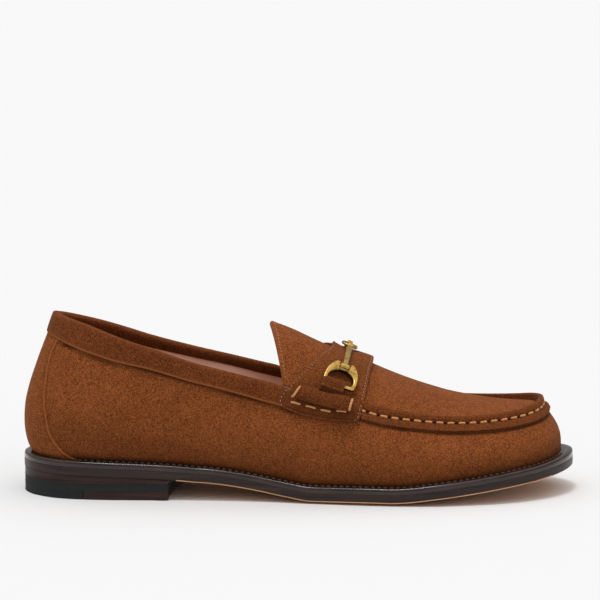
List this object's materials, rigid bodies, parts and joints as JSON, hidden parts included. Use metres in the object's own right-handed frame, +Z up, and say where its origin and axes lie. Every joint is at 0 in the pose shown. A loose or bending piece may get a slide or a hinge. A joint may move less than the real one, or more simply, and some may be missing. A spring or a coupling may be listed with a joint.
{
  "type": "bit loafer",
  "caption": "Suede slip-on loafer with a raised moccasin seam, a saddle strap with a metal bit and a low stacked heel on a leather sole.",
  "frame": {"origin": "bottom centre of the shoe's bounding box, on the ground it stands on", "axes": "+X towards the toe, +Y towards the medial side of the foot, +Z up"},
  "size_m": [0.296, 0.106, 0.0965],
  "materials": {
    "sole_leather": "polished dark brown edge",
    "welt_leather": "polished dark brown",
    "heel_leather": "polished dark brown stack",
    "heel_rubber": "matt black rubber",
    "lining_leather": "smooth undyed lining leather",
    "suede": "snuff brown suede nap",
    "suede_trim": "snuff brown suede, folded and sewn",
    "antique_brass": "antique brass"
  },
  "bodies": {
    "root": {"outsole": "sole_leather", "welt": "welt_leather", "heel_lift": "heel_leather", "heel_rubber_layer": "heel_rubber", "heel_top_piece_rubber": "heel_rubber", "heel_top_piece_leather": "heel_leather", "insole": "lining_leather", "upper": "suede", "tongue": "suede", "apron_seam": "suede_trim", "collar_band": "suede_trim", "back_strap": "suede", "saddle_strap": "suede", "roll_lateral": "suede_trim", "roll_medial": "suede_trim", "keeper_lateral": "suede_trim", "keeper_medial": "suede_trim", "ring_lateral": "antique_brass", "ring_medial": "antique_brass", "bar_lateral": "antique_brass", "bar_medial": "antique_brass", "centre_link": "antique_brass"}
  },
  "joints": []
}
